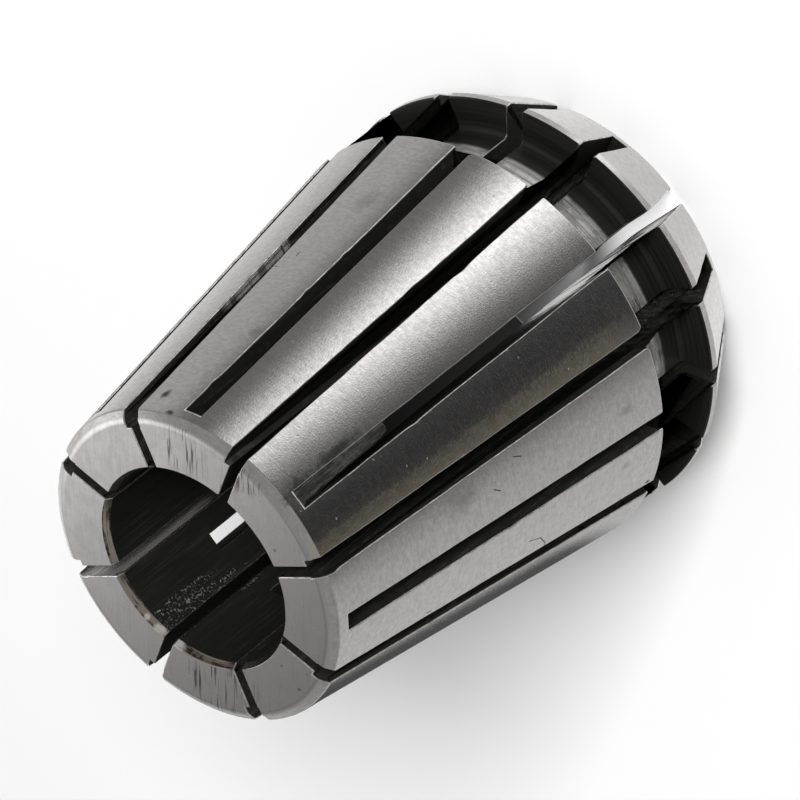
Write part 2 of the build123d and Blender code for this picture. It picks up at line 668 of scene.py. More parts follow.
def apart(tree, place):
    return addNode(tree, "ShaderNodeSeparateXYZ", {0: place}).outputs


def shrunk(tree, place, size):
    return vectorCalc(tree, "DIVIDE", place, joined(tree, size, size, size))


def cloud(tree, place, detail, roughness, dimensions="3D"):
    node = addNode(tree, "ShaderNodeTexNoise",
                   {"Vector": place, "Scale": 1.0, "Detail": detail, "Roughness": roughness},
                   noise_dimensions=dimensions)
    return node.outputs["Fac"]


def newGroup(name, inputs, outputs):
    group = bpy.data.node_groups.new(name, "ShaderNodeTree")
    for label, value in inputs.items():
        kind = "NodeSocketVector" if isinstance(value, tuple) else "NodeSocketFloat"
        socket = group.interface.new_socket(name=label, in_out="INPUT", socket_type=kind)
        socket.default_value = value
    for label in outputs:
        group.interface.new_socket(name=label, in_out="OUTPUT", socket_type="NodeSocketFloat")
    given, made = addNode(group, "NodeGroupInput"), addNode(group, "NodeGroupOutput")
    return group, given.outputs, made.inputs


def socketName(name):
    # lineWidth stands for the socket Line Width
    spaced = "".join(" " + letter if letter.isupper() else letter for letter in name)
    return spaced[0].upper() + spaced[1:]


def useGroup(tree, group, **values):
    named = {socketName(name): value for name, value in values.items()}
    return addNode(tree, "ShaderNodeGroup", named, node_tree=group).outputs


def dress(tree, shader, bump=None, specular=0.5, **values):
    # fills the shader's sockets; bump is (height in metres, what it follows)
    shader.inputs["Specular IOR Level"].default_value = specular
    for name, value in values.items():
        give(tree, shader.inputs[socketName(name)], value)
    if bump:
        node = addNode(tree, "ShaderNodeBump", {"Strength": 1.0, "Distance": bump[0], "Height": bump[1]})
        give(tree, shader.inputs["Normal"], node.outputs[0])


def linesAndSpots(tree, look, along, across):
    return (useGroup(tree, fineLines, along=along, across=across, **look["lines"]),
            useGroup(tree, mottle, **look["spots"]))


def objectPlace(tree):
    return addNode(tree, "ShaderNodeTexCoord").outputs["Object"]


def inMillimetres(tree):
    return vectorCalc(tree, "MULTIPLY", objectPlace(tree), (1000, 1000, 1000))


aroundRadius = 11.0


def placeUp(tree):
    # millimetres up the collet
    return apart(tree, inMillimetres(tree))[2]


def placeAround(tree):
    # millimetres round the collet, at aroundRadius from its axis
    x, y, z = apart(tree, inMillimetres(tree))
    return times(tree, calc(tree, "ARCTAN2", y, x), aroundRadius)


def placeOut(tree):
    # millimetres out from the axis
    x, y, z = apart(tree, inMillimetres(tree))
    return calc(tree, "SQRT", plus(tree, times(tree, x, x), times(tree, y, y)))


# Detail, roughness and contrast of the noises that the groups below share.
noiseShapes = {
    "layers": ((1.0, 1.0, 0.6), (2.3, 3.4, 0.4)),  # lines: how much longer and wider, and the layer's share
    "lineNoise": (2.0, 0.55),
    "lineContrast": (0.36, 0.64),
    "toneNoise": (4.0, 0.65),
    "toneContrast": (0.34, 0.66),
    "speckEdge": (0.11, 0.03),
    "speckChance": (0.72, 0.74),
    "ragNoise": (3.0, 0.6),
    "scratchEdge": (1.0, 0.4),
}


def buildFineLines():
    # fine lines along one direction, such as the marks of a wheel or a saw
    group, given, made = newGroup(
        "fineLines", {"Along": 0.0, "Across": 0.0, "Line Width": 0.1, "Streak Length": 1.0},
        ["Lines", "Height"])
    heights = []
    for stretch, widen, share in noiseShapes["layers"]:
        along = calc(group, "DIVIDE", given["Along"], times(group, given["Streak Length"], stretch))
        across = calc(group, "DIVIDE", given["Across"], times(group, given["Line Width"], widen))
        layer = cloud(group, joined(group, along, across, 0.0), *noiseShapes["lineNoise"], "2D")
        heights.append(times(group, layer, share))
    height = plus(group, *heights)
    give(group, made["Height"], height)
    give(group, made["Lines"], ranged(group, height, *noiseShapes["lineContrast"]))
    return group


def buildMottle():
    # soft blotches and the small dents and specks of handled steel
    group, given, made = newGroup("mottle", {"Size": 0.35, "Speck Gap": 0.8}, ["Tone", "Specks"])
    place = inMillimetres(group)
    tone = cloud(group, shrunk(group, place, given["Size"]), *noiseShapes["toneNoise"])
    give(group, made["Tone"], ranged(group, tone, *noiseShapes["toneContrast"]))
    cells = addNode(group, "ShaderNodeTexVoronoi",
                    {"Vector": shrunk(group, place, given["Speck Gap"]), "Scale": 1.0})
    chance = addNode(group, "ShaderNodeSeparateColor", {0: cells.outputs["Color"]})
    near = ranged(group, cells.outputs["Distance"], *noiseShapes["speckEdge"])
    chosen = ranged(group, chance.outputs[0], *noiseShapes["speckChance"])
    give(group, made["Specks"], times(group, near, chosen))
    return group


def buildPatch():
    # a ragged blotch at one place
    group, given, made = newGroup(
        "patch", {"Place": (0.0, 0.0, 0.0), "Size": 1.0, "Stretch": 1.0, "Edge": 0.4, "Raggedness": 0.8,
                  "Grain": 0.5}, ["Mask"])
    place = inMillimetres(group)
    away = vectorCalc(group, "SUBTRACT", place, given["Place"])
    away = vectorCalc(group, "DIVIDE", away, joined(group, 1.0, 1.0, given["Stretch"]))
    far = calc(group, "DIVIDE", vectorCalc(group, "LENGTH", away, output=1), given["Size"])
    ragged = cloud(group, shrunk(group, place, given["Grain"]), *noiseShapes["ragNoise"])
    shift = times(group, minus(group, ragged, 0.5), given["Raggedness"], 2.0)
    start, end = plus(group, 1.0, given["Edge"]), minus(group, 1.0, given["Edge"])
    give(group, made["Mask"], ranged(group, plus(group, far, shift), start, end))
    return group


def buildScratch():
    # one straight scratch between two places
    group, given, made = newGroup(
        "scratch", {"Start": (0.0, 0.0, 0.0), "End": (1.0, 0.0, 0.0), "Width": 0.05}, ["Mask"])
    run = vectorCalc(group, "SUBTRACT", given["End"], given["Start"])
    away = vectorCalc(group, "SUBTRACT", inMillimetres(group), given["Start"])
    share = calc(group, "DIVIDE", vectorCalc(group, "DOT_PRODUCT", away, run, output=1),
                 vectorCalc(group, "DOT_PRODUCT", run, run, output=1), clamp=True)
    nearest = vectorCalc(group, "MULTIPLY", run, joined(group, share, share, share))
    far = vectorCalc(group, "LENGTH", vectorCalc(group, "SUBTRACT", away, nearest), output=1)
    far = calc(group, "DIVIDE", far, given["Width"])
    give(group, made["Mask"], ranged(group, far, *noiseShapes["scratchEdge"]))
    return group


fineLines, mottle, patch, scratch = buildFineLines(), buildMottle(), buildPatch(), buildScratch()


def atAzimuth(azimuth, radius, height):
    turn = math.radians(azimuth)
    return radius * math.cos(turn), radius * math.sin(turn), height


def onBody(azimuth, height):
    # a place on the long cone, in millimetres
    return atAzimuth(azimuth, bodyRadius(height), height)


def patchAt(tree, place, size, stretch, edge, raggedness, grain):
    return useGroup(tree, patch, place=place, size=size, stretch=stretch, edge=edge, raggedness=raggedness,
                    grain=grain)["Mask"]


# In each look, lines are for the group fineLines and spots for the group mottle. Bump heights are in
# metres, other sizes in millimetres.
groundSteelLook = {
    "colour": (0.64, 0.625, 0.615),
    "darker": (0.49, 0.48, 0.475),
    "smear": (0.10, 0.105, 0.095),
    "roughness": (0.19, 0.11),
    "smearRoughness": 0.25,
    "lines": {"lineWidth": 0.09, "streakLength": 0.5},
    "spots": {"size": 0.3, "speckGap": 1.1},
    "grit": {"size": 0.10, "speckGap": 0.7},
    "gritShare": 0.6,
    "speckDepth": 2.5,
    "bump": 0.0000036,
    "noseGrain": (3.0, 9.5, 0.45, 1.0),    # the grain is fainter on the nose than on the body
    # (azimuth, height, size, stretch, edge, raggedness)
    "smears": [(59.3, 32.3, 0.2, 1.6, 0.7, 1.0), (52.0, 33.5, 0.22, 0.6, 0.7, 1.0),
               (4.4, 29.6, 0.36, 9.0, 0.7, 0.9), (2.6, 32.4, 0.6, 1.8, 0.7, 1.0),
               (-63.4, 9.9, 0.12, 1.5, 0.6, 0.8)],
    # thinner marks, the same way
    "stains": [(-35.5, 11.9, 0.28, 1.6, 0.8, 0.8), (-51.7, 12.2, 0.25, 1.4, 0.8, 0.8),
               (49.8, 26.4, 0.3, 1.4, 0.8, 1.0), (56.0, 15.0, 0.5, 1.5, 0.9, 1.2),
               (-30.0, 24.0, 0.6, 1.5, 0.9, 1.0)],
    "stainShare": 0.3,
    "smearGrain": 0.35,
    # a thin brownish film along one finger: azimuths where it starts and ends, heights where it starts
    "film": {"from": (-12.9, -14.4), "to": (-22.6, -22.2), "above": (9.4, 12.5), "stray": 0.6,
             "colour": (0.61, 0.575, 0.505), "roughness": 0.06},
    # (azimuth, height) of both ends
    "scratches": [((-57.8, 19.4), (-59.2, 18.5)), ((-59.2, 18.5), (-63.1, 17.9)),
                  ((-63.1, 17.9), (-65.4, 18.0)), ((-27.8, 20.1), (-29.0, 19.6)),
                  ((-33.0, 21.9), (-34.5, 21.5)), ((63.6, 21.2), (64.6, 21.2)),
                  ((60.7, 20.2), (60.7, 19.9)), ((-62.0, 27.0), (-62.6, 26.6))],
    "scratchWidth": 0.05,
}


def bodyMarks(tree, marks, grain):
    return [patchAt(tree, onBody(azimuth, height), *shape, grain) for azimuth, height, *shape in marks]


def filmMask(tree, film, around, up, tone):
    stray = times(tree, minus(tree, tone, 0.5), film["stray"])
    turn = plus(tree, times(tree, around, math.degrees(1) / aroundRadius), stray)
    return times(tree, ranged(tree, turn, *film["from"]), ranged(tree, turn, *film["to"]),
                 ranged(tree, up, *film["above"]))


def buildGroundSteel(tree, shader, look):
    # ground cones, with fine marks round the collet, smears, stains and scratches
    around, up = placeAround(tree), placeUp(tree)
    marks, spots = linesAndSpots(tree, look, around, up)
    tone = plus(tree, *[times(tree, part, 0.5) for part in (marks["Lines"], spots["Tone"])])
    smears = bodyMarks(tree, look["smears"], look["smearGrain"])
    stains = bodyMarks(tree, look["stains"], look["smearGrain"])
    smears.append(times(tree, strongest(tree, *stains), look["stainShare"]))
    for start, end in look["scratches"]:
        smears.append(useGroup(tree, scratch, start=onBody(*start), end=onBody(*end),
                               width=look["scratchWidth"])["Mask"])
    smear = strongest(tree, *smears)
    filmed = filmMask(tree, look["film"], around, up, spots["Tone"])
    colour = blend(tree, tone, look["darker"], look["colour"])
    colour = blend(tree, filmed, colour, look["film"]["colour"])
    roughness = plus(tree, ranged(tree, spots["Tone"], 0.0, 1.0, *look["roughness"]),
                     times(tree, filmed, look["film"]["roughness"]),
                     times(tree, smear, look["smearRoughness"]))
    grit = useGroup(tree, mottle, **look["grit"])
    height = plus(tree, marks["Height"], times(tree, grit["Tone"], look["gritShare"]))
    height = minus(tree, height, times(tree, grit["Specks"], look["speckDepth"]))
    height = times(tree, height, ranged(tree, up, *look["noseGrain"]))
    dress(tree, shader, (look["bump"], height), baseColor=blend(tree, smear, colour, look["smear"]),
          roughness=roughness, metallic=1.0)


turnedOxideLook = {
    "colour": (0.006, 0.006, 0.005),
    "worn": (0.92, 0.91, 0.88),
    "ring": (6.1, 7.0),                    # heights over which the worn ring on the groove floor begins
    "floor": (11.5, 11.25),                # radii over which the groove floor begins
    "wornLines": (0.38, 0.58, 0.25, 1.0),
    "wornSpots": (0.1, 0.75, 0.45, 1.0),
    "faint": 0.006,
    "lines": {"lineWidth": 0.09, "streakLength": 9.0},
    "spots": {"size": 1.4, "speckGap": 0.7},
    "metal": (0.1, 0.5),
    "roughness": (0.45, 0.58),
    "specular": 0.25,
    "bump": 0.000006,
}


def buildTurnedOxide(tree, shader, look):
    # black oxide on turned faces, rubbed bright in a ring next to the body
    around, up, out = placeAround(tree), placeUp(tree), placeOut(tree)
    rings = useGroup(tree, fineLines, along=around, across=plus(tree, up, out), **look["lines"])
    spots = useGroup(tree, mottle, **look["spots"])
    worn = times(tree, ranged(tree, up, *look["ring"]), ranged(tree, out, *look["floor"]),
                 ranged(tree, rings["Height"], *look["wornLines"]),
                 ranged(tree, spots["Tone"], *look["wornSpots"]))
    worn = strongest(tree, worn, times(tree, rings["Lines"], look["faint"]))
    dress(tree, shader, (look["bump"], times(tree, rings["Height"], worn)), look["specular"],
          baseColor=blend(tree, worn, look["colour"], look["worn"]),
          metallic=ranged(tree, worn, *look["metal"]),
          roughness=ranged(tree, worn, 0.0, 0.7, *look["roughness"]))


endFaceLook = {
    "colour": (0.60, 0.585, 0.575),
    "darker": (0.52, 0.505, 0.495),
    "scored": (0.10, 0.095, 0.09),
    "roughness": (0.30, 0.20),
    "direction": 42.0,                     # azimuth that the rubbing marks run along
    "fine": {"lineWidth": 0.05, "streakLength": 1.4},
    "deep": {"lineWidth": 0.12, "streakLength": 2.2},
    "deepShift": (31.0, 17.0),             # so that the deep marks don't repeat the fine ones
    "spots": {"size": 0.9, "speckGap": 1.4},
    # (x, y, size) of places on the tail face with deeper marks, and how strong they are there and elsewhere
    "marked": [(-4.4, -6.6, 2.4), (-5.8, -5.4, 1.6), (5.4, 5.6, 1.3), (8.2, 2.6, 1.0)],
    "markEdge": (0.5, 0.5, 1.2),           # edge, raggedness and grain
    "strength": (0.8, 0.06),
    "scoreLines": (0.47, 0.37),
    "fineHeight": 0.3,
    "toneShares": (0.4, 0.6),              # of the fine marks and of the blotches
    "speckStrength": 0.7,
    "bump": 0.0000022,
}


def buildEndFace(tree, shader, look):
    # faces rubbed flat on a stone, all marks one way
    x, y, z = apart(tree, inMillimetres(tree))
    c, s = math.cos(math.radians(look["direction"])), math.sin(math.radians(look["direction"]))
    along = plus(tree, times(tree, x, c), times(tree, y, s))
    across = minus(tree, times(tree, y, c), times(tree, x, s))
    fine = useGroup(tree, fineLines, along=along, across=across, **look["fine"])
    deep = useGroup(tree, fineLines, along=plus(tree, along, look["deepShift"][0]),
                    across=plus(tree, across, look["deepShift"][1]), **look["deep"])
    spots = useGroup(tree, mottle, **look["spots"])
    marked = [patchAt(tree, (x, y, collet["length"]), size, 1.0, *look["markEdge"])
              for x, y, size in look["marked"]]
    marking, least = look["strength"]
    strength = plus(tree, times(tree, strongest(tree, *marked), marking), least)
    score = times(tree, ranged(tree, deep["Height"], *look["scoreLines"]), strength)
    score = strongest(tree, score, times(tree, spots["Specks"], look["speckStrength"]))
    lineShare, spotShare = look["toneShares"]
    tone = plus(tree, times(tree, fine["Lines"], lineShare), times(tree, spots["Tone"], spotShare))
    colour = blend(tree, tone, look["darker"], look["colour"])
    dress(tree, shader, (look["bump"], minus(tree, times(tree, fine["Height"], look["fineHeight"]), score)),
          baseColor=blend(tree, score, colour, look["scored"]),
          roughness=ranged(tree, tone, 0.0, 1.0, *look["roughness"]), metallic=1.0)


brokenEdgeLook = {
    "colour": (0.96, 0.95, 0.93),
    "darker": (0.55, 0.53, 0.50),
    "roughness": (0.50, 0.32),
    "spots": {"size": 0.55, "speckGap": 0.9},
}


def buildBrokenEdge(tree, shader, look):
    # bright line where the oxide has come off the edge of a slot, with dull gaps
    tone = useGroup(tree, mottle, **look["spots"])["Tone"]
    dress(tree, shader, baseColor=blend(tree, tone, look["darker"], look["colour"]),
          roughness=ranged(tree, tone, 0.0, 1.0, *look["roughness"]), metallic=1.0)


sawnWallLook = {
    "colour": (0.010, 0.010, 0.008),
    # colour of rubbed oxide, also used for painted reflection, painted highlight and painted sheen
    "rubbed": (0.80, 0.785, 0.75),
    "roughness": (0.55, 0.16),
    "specular": 0.2,
    "lines": {"lineWidth": 0.075, "streakLength": 3.2},
    "crossLines": {"lineWidth": 0.5, "streakLength": 5.0},
    "spots": {"size": 0.6, "speckGap": 0.6},
    # places made bright: azimuth, radius, height, size, stretch and strength. The first is oxide scraped
    # off, the second a painted reflection of the pale floor on a wall near the rim, the third a painted
    # highlight on a wall at the rim
    "scraped": [(70.8, 11.2, 21.6, 0.8, 3.0, 0.6), (-2.9, 9.6, 6.5, 3.6, 1.3, 1.0),
                (92.4, 12.2, 3.2, 1.5, 1.2, 1.0)],
    # the same for a painted sheen streaked along a slit wall, where the wall catches light at a grazing
    # angle
    "drawn": [(162.0, 7.2, 31.5, 1.8, 3.0, 0.55)],
    "markEdge": (0.5, 0.4, 0.6),           # edge, raggedness and grain of both
    "scrapedAndLitLines": (0.38, 0.54, 0.10, 1.0),
    "drawnSheenLines": (0.42, 0.60, 0.25, 1.0),
    "faint": 0.03,
    "faintLines": (0.48, 0.68),
    "faintSpots": (0.2, 0.9),
    "metal": (0.05, 0.5, 0.0, 0.7),
    "bump": 0.000008,
}


def wallMarks(tree, marks, edge):
    masks = []
    for azimuth, radius, height, size, stretch, strength in marks:
        mask = patchAt(tree, atAzimuth(azimuth, radius, height), size, stretch, *edge)
        masks.append(times(tree, mask, strength))
    return strongest(tree, *masks)


def buildSawnWall(tree, shader, look):
    # slot walls with saw marks along the slot; a few places carry painted reflection, painted highlight and
    # painted sheen
    up, out = placeUp(tree), placeOut(tree)
    marks = useGroup(tree, fineLines, along=up, across=out, **look["lines"])
    cross = useGroup(tree, fineLines, along=out, across=up, **look["crossLines"])
    spots = useGroup(tree, mottle, **look["spots"])
    # painted reflection and painted highlight on two of these places, scraped oxide on the other
    scrapeAndLit = times(tree, wallMarks(tree, look["scraped"], look["markEdge"]),
                   ranged(tree, cross["Height"], *look["scrapedAndLitLines"]))
    # painted sheen on a slit wall, streaked along the slot
    drawn = times(tree, wallMarks(tree, look["drawn"], look["markEdge"]),
                  ranged(tree, marks["Height"], *look["drawnSheenLines"]))
    rubAndSheen = times(tree, ranged(tree, marks["Height"], *look["faintLines"]), look["faint"],
                ranged(tree, spots["Tone"], *look["faintSpots"]))
    # rubs together with the painted reflection, highlight and sheen
    rubAndSheen = strongest(tree, rubAndSheen, scrapeAndLit, drawn)
    dress(tree, shader, (look["bump"], marks["Height"]), look["specular"],
          baseColor=blend(tree, rubAndSheen, look["colour"], look["rubbed"]),
          metallic=ranged(tree, rubAndSheen, *look["metal"]),
          roughness=ranged(tree, rubAndSheen, 0.0, 0.5, *look["roughness"]))


boreOxideLook = {
    "colour": (0.008, 0.008, 0.0065),
    "glint": (0.95, 0.93, 0.90),
    "roughness": (0.5, 0.40),
    "specular": 0.25,
    "lines": {"lineWidth": 0.16, "streakLength": 3.0},
    "spots": {"size": 0.15, "speckGap": 0.36},
    # azimuth, height, size, stretch of the places where the oxide is flecked off
    "flecked": [(-161.6, 31.2, 0.26, 13.0), (-168.0, 31.4, 0.32, 7.0), (-152.2, 27.4, 0.2, 4.0)],
    "fleckEdge": (0.5, 0.25, 0.5),         # edge, raggedness and grain
    "fineSpots": (0.75, 0.95),
    "fineFlecks": 0.35,
    "faintLines": (0.5, 0.7),
    "faint": 0.008,
    "metal": (0.1, 0.4),
    "heights": (4.0, 0.2),                 # of the flecks and of the lines
    "bump": 0.00002,
}


def buildBoreOxide(tree, shader, look):
    # black oxide in the bore, flecked off in a few places
    around, up = placeAround(tree), placeUp(tree)
    marks, spots = linesAndSpots(tree, look, up, around)
    flecked = [patchAt(tree, atAzimuth(azimuth, collet["boreRadius"], height), size, stretch,
                       *look["fleckEdge"]) for azimuth, height, size, stretch in look["flecked"]]
    fine = times(tree, ranged(tree, spots["Tone"], *look["fineSpots"]), look["fineFlecks"])
    fleck = times(tree, strongest(tree, *flecked), strongest(tree, fine, spots["Specks"]))
    faint = times(tree, ranged(tree, marks["Height"], *look["faintLines"]), look["faint"])
    fleck = strongest(tree, fleck, faint)
    fleckHeight, lineHeight = look["heights"]
    height = plus(tree, times(tree, fleck, fleckHeight), times(tree, marks["Height"], lineHeight))
    dress(tree, shader, (look["bump"], height), look["specular"],
          baseColor=blend(tree, fleck, look["colour"], look["glint"]),
          metallic=ranged(tree, fleck, *look["metal"]),
          roughness=ranged(tree, fleck, 0.0, 0.6, *look["roughness"]))


mouthLook = {
    "colour": (0.42, 0.37, 0.32),
    "darker": (0.07, 0.055, 0.045),
    # colour of the painted glints
    "bright": (0.95, 0.92, 0.86),
    "roughness": (0.24, 0.42),
    "lines": {"lineWidth": 0.13, "streakLength": 5.0},
    "spots": {"size": 0.5, "speckGap": 0.6},
    # painted highlights: azimuth and size of bright glint places, and the radius and height they are at
    "rubbed": [(-162.6, 0.34), (-150.8, 0.42), (-172.0, 0.16)],
    "rubbedAt": (6.1, 33.85),
    "glintEdge": (0.5, 0.8, 0.25),        # edge, raggedness and grain
    "darkLines": (0.56, 0.44),
    "darkSpots": (0.0, 0.8, 0.4, 1.0),
    "bump": 0.00001,
}


def buildMouth(tree, shader, look):
    # turned chamfer at the bore's tail end, browned and ringed, with painted glints
    around, up = placeAround(tree), placeUp(tree)
    rings, spots = linesAndSpots(tree, look, around, up)
    dark = times(tree, ranged(tree, rings["Height"], *look["darkLines"]),
                 ranged(tree, spots["Tone"], *look["darkSpots"]))
    # painted highlights: bright patches where glints show
    rubbed = [patchAt(tree, atAzimuth(azimuth, *look["rubbedAt"]), size, 1.0, *look["glintEdge"])
              for azimuth, size in look["rubbed"]]
    colour = blend(tree, dark, look["colour"], look["darker"])
    dress(tree, shader, (look["bump"], rings["Height"]),
          baseColor=blend(tree, strongest(tree, *rubbed), colour, look["bright"]),
          roughness=ranged(tree, dark, 0.0, 1.0, *look["roughness"]), metallic=1.0)


finishes = {
    "groundSteel": (buildGroundSteel, groundSteelLook),
    "turnedOxide": (buildTurnedOxide, turnedOxideLook),
    "endFaceSteel": (buildEndFace, endFaceLook),
    "brokenEdge": (buildBrokenEdge, brokenEdgeLook),
    "sawnWall": (buildSawnWall, sawnWallLook),
    "boreOxide": (buildBoreOxide, boreOxideLook),
    "mouthSteel": (buildMouth, mouthLook),
}
for name in finishNames:
    colletMesh.materials.append(makeMaterial(name, *finishes[name]))
print("materials built")

# Hardened dirt that fills part of one slot at its run-out, just under the surface. Millimetres.
residue = {
    "upper": 0.5,
    # height and lower edge, from the nose end to the tail end
    "lower": [(26.2, -0.02), (27.0, -0.14), (29.5, -0.2), (31.5, -0.24), (32.4, -0.36), (33.0, -0.5)],
    "sunk": 0.07,
    "thick": 0.4,
    "rows": 90,
    "columns": 9,
    "colour": (0.007, 0.007, 0.006),
    "scratched": (0.17, 0.167, 0.157),
    "roughness": (0.55, 0.38),
    "lines": {"lineWidth": 0.06, "streakLength": 1.2},
    "spots": {"size": 0.25, "speckGap": 0.4},
    "rubLines": (0.48, 0.66),
    "metal": (0.1, 0.6),
    "bump": 0.00001,
    "edgeWander": (2.3, 0.05),   # how fast and how far the lower edge wanders
    "lumps": (1.7, 4.0, 0.8),    # how close together along and across, and how deep
    "slump": 0.1,                # how much the lower edge sinks
    "clear": 0.05,
}


def residueLower(height):
    for (z0, y0), (z1, y1) in zip(residue["lower"], residue["lower"][1:]):
        if height <= z1:
            return y0 + (y1 - y0) * (height - z0) / (z1 - z0)
    return residue["lower"][-1][1]


def sawRadius(height):
    # radius of the saw's run-out at a height
    rise = min(height - collet["sawStop"], collet["sawRadius"])
    return collet["sawFloor"] + collet["sawRadius"] - math.sqrt(collet["sawRadius"] ** 2 - rise ** 2)


def residueRow(z):
    # one cross-section: the lumpy face near the surface, then its two back corners
    least = -collet["slotHalf"]
    pace, far = residue["edgeWander"]
    alongPace, acrossPace, depth = residue["lumps"]
    low = residueLower(z) + far * noise.noise(Vector((z * pace, 1.0, 0.0)))
    points = []
    for column in range(residue["columns"]):
        share = column / (residue["columns"] - 1)
        y = max(least, residue["upper"] + (low - residue["upper"]) * share)
        lumps = noise.noise(Vector((z * alongPace, y * acrossPace, 3.0)))
        dip = residue["sunk"] * (1 + depth * lumps) + residue["slump"] * share ** 3
        points.append(onCircle(bodyRadius(z) - dip, y, z))
    back = max(sawRadius(z) - residue["clear"], bodyRadius(z) - residue["thick"])
    return points + [(back, max(least, low), z), (back, residue["upper"], z)]


def buildResidue():
    points, faces = [], []
    count, width = residue["rows"], residue["columns"] + 2
    z0, z1 = residue["lower"][0][0], residue["lower"][-1][0]
    for row in range(count):
        points += residueRow(z0 + (z1 - z0) * row / (count - 1))
    for row in range(count - 1):
        for column in range(width):
            a, b = row * width + column, row * width + (column + 1) % width
            faces.append((a, b, b + width, a + width))
    faces.append(tuple(reversed(range(width))))
    faces.append(tuple(range((count - 1) * width, count * width)))
    residueMesh = bpy.data.meshes.new("slotResidue")
    residueMesh.from_pydata([tuple(v * mm for v in p) for p in points], [], faces)
    residueMesh.polygons.foreach_set("use_smooth", [True] * len(faces))
    residueMesh.materials.append(makeMaterial("slotResidue", buildResidueDirt, residue))
    piece = addObject("slotResidue", residueMesh)
    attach(piece, "root")


def buildResidueDirt(tree, shader, look):
    around, up = placeAround(tree), placeUp(tree)
    marks, spots = linesAndSpots(tree, look, up, around)
    rubAndSheen = times(tree, ranged(tree, marks["Height"], *look["rubLines"]), spots["Tone"])
    dress(tree, shader, (look["bump"], marks["Height"]),
          baseColor=blend(tree, rubAndSheen, look["colour"], look["scratched"]),
          metallic=ranged(tree, rubAndSheen, *look["metal"]),
          roughness=ranged(tree, spots["Tone"], 0.0, 1.0, *look["roughness"]))


buildResidue()

# Brightness of the soft surround. Grey unless warm.
studio = {
    "backdrop": 0.97,
    "soft": 1.4,                 # share of the surround that lights dull faces
    "warmth": (0.05, -0.12),     # added to red and to blue where the surround is warm
    # (degrees round the collet, brightness, warm or not)
    "side": [(-180, 0.45, 0), (-155, 0.56, 0), (-128, 0.66, 0), (-110, 0.69, 0), (-87, 0.62, 0),
             (-79, 0.58, 0), (-71, 0.55, 0), (-64, 0.49, 0), (-58, 0.42, 0), (-54, 0.32, 0),
             (-49, 0.19, 1), (-46, 0.165, 1), (-34.5, 0.12, 1), (-32.5, 0.044, 0), (-20, 0.04, 0),
             (-10, 0.055, 0), (-2, 0.10, 0), (9, 0.16, 0), (20, 0.24, 0), (31, 0.35, 0), (43, 0.50, 0),
             (53, 0.36, 0), (62, 0.20, 0), (74, 0.19, 0), (85, 0.20, 0), (90, 0.36, 0), (95, 0.51, 0),
             (125, 0.55, 0), (135, 0.66, 0), (150, 0.80, 0), (180, 0.95, 0)],
    # (height of the direction, brightness, share over the sides)
    "upright": [(-1.0, 0.78, 1), (-0.95, 0.85, 1), (-0.85, 1.0, 1), (-0.72, 0.8, 1), (-0.62, 0.6, 0.75),
                (-0.56, 0.5, 0), (-0.05, 0.38, 0), (0.3, 0.38, 1), (1.0, 0.36, 1)],
    "card": {"direction": (-0.778, -0.054, 0.625), "near": 0.955, "far": 0.90, "brightness": 0.23},
}

# Stage sizes and places in metres. The panels and the shade are seen only in the collet's reflections.
panels = {
    "key": {"place": (0.098, 0.073, -0.046), "aim": (0.008, 0.004, 0.020), "size": 0.135, "shine": 1.6},
    "tailPanel": {"place": (-0.062, 0.034, 0.084), "aim": (0, 0, 0.034), "size": 0.115, "shine": 1.6},
}
tableShade = {
    "x": -0.020,
    "y": (-0.045, 0.012),
    "z": (-0.012, 0.026),
    "rise": (-0.0095, -0.0035),  # heights over which it fades in
    "start": (-0.037, -0.030),   # and y
    "brightness": 0.085,
}
skyLamp = {"place": (0.525, 0.155, 0.512), "size": 0.26, "power": 7.2}
paleFloor = {
    "half": 3.0,
    "colour": 0.80,
    "roughness": 0.8,
    # painted light: the floor glows a little at the foot of the slot that is seen through: x where this
    # starts and ends, y, shine
    "glow": {"from": (0.0015, 0.0058), "to": (0.0110, 0.0098), "half": (0.0017, 0.0009), "shine": 0.6},
}


def grey(brightness):
    return (brightness,) * 3


def rampOf(tree, stops, value):
    # stops are (position, red, green, blue, alpha)
    node = addNode(tree, "ShaderNodeValToRGB", {0: value})
    elements = node.color_ramp.elements
    for index, (position, *colour) in enumerate(stops):
        stop = elements[index] if index < 2 else elements.new(position)
        stop.position = position
        stop.color = colour
    return node.outputs


def buildStudioWorld():
    world = bpy.data.worlds.new("studio")
    bpy.context.scene.world = world
    world.use_nodes = True
    tree = world.node_tree
    place = addNode(tree, "ShaderNodeTexCoord").outputs["Generated"]
    x, y, z = apart(tree, place)
    red, blue = studio["warmth"]
    stops = [((degrees + 180) / 360, value * (1 + red * warm), value, value * (1 + blue * warm), 1)
             for degrees, value, warm in studio["side"]]
    turn = ranged(tree, calc(tree, "ARCTAN2", y, x), -math.pi, math.pi, smooth=False)
    side = rampOf(tree, stops, turn)
    stops = [((height + 1) / 2, *grey(value), share) for height, value, share in studio["upright"]]
    upright = rampOf(tree, stops, ranged(tree, z, -1.0, 1.0, smooth=False))
    light = blend(tree, upright["Alpha"], side["Color"], upright["Color"])
    card = studio["card"]
    near = vectorCalc(tree, "DOT_PRODUCT", place, card["direction"], output=1)
    light = blend(tree, ranged(tree, near, card["far"], card["near"]), light, grey(card["brightness"]))
    ray = addNode(tree, "ShaderNodeLightPath").outputs
    light = blend(tree, ray["Is Camera Ray"], light, grey(studio["backdrop"]))
    strength = ranged(tree, ray["Is Diffuse Ray"], 0.0, 1.0, 1.0, studio["soft"])
    background = tree.nodes["Background"].inputs
    give(tree, background["Strength"], strength)
    give(tree, background["Color"], light)


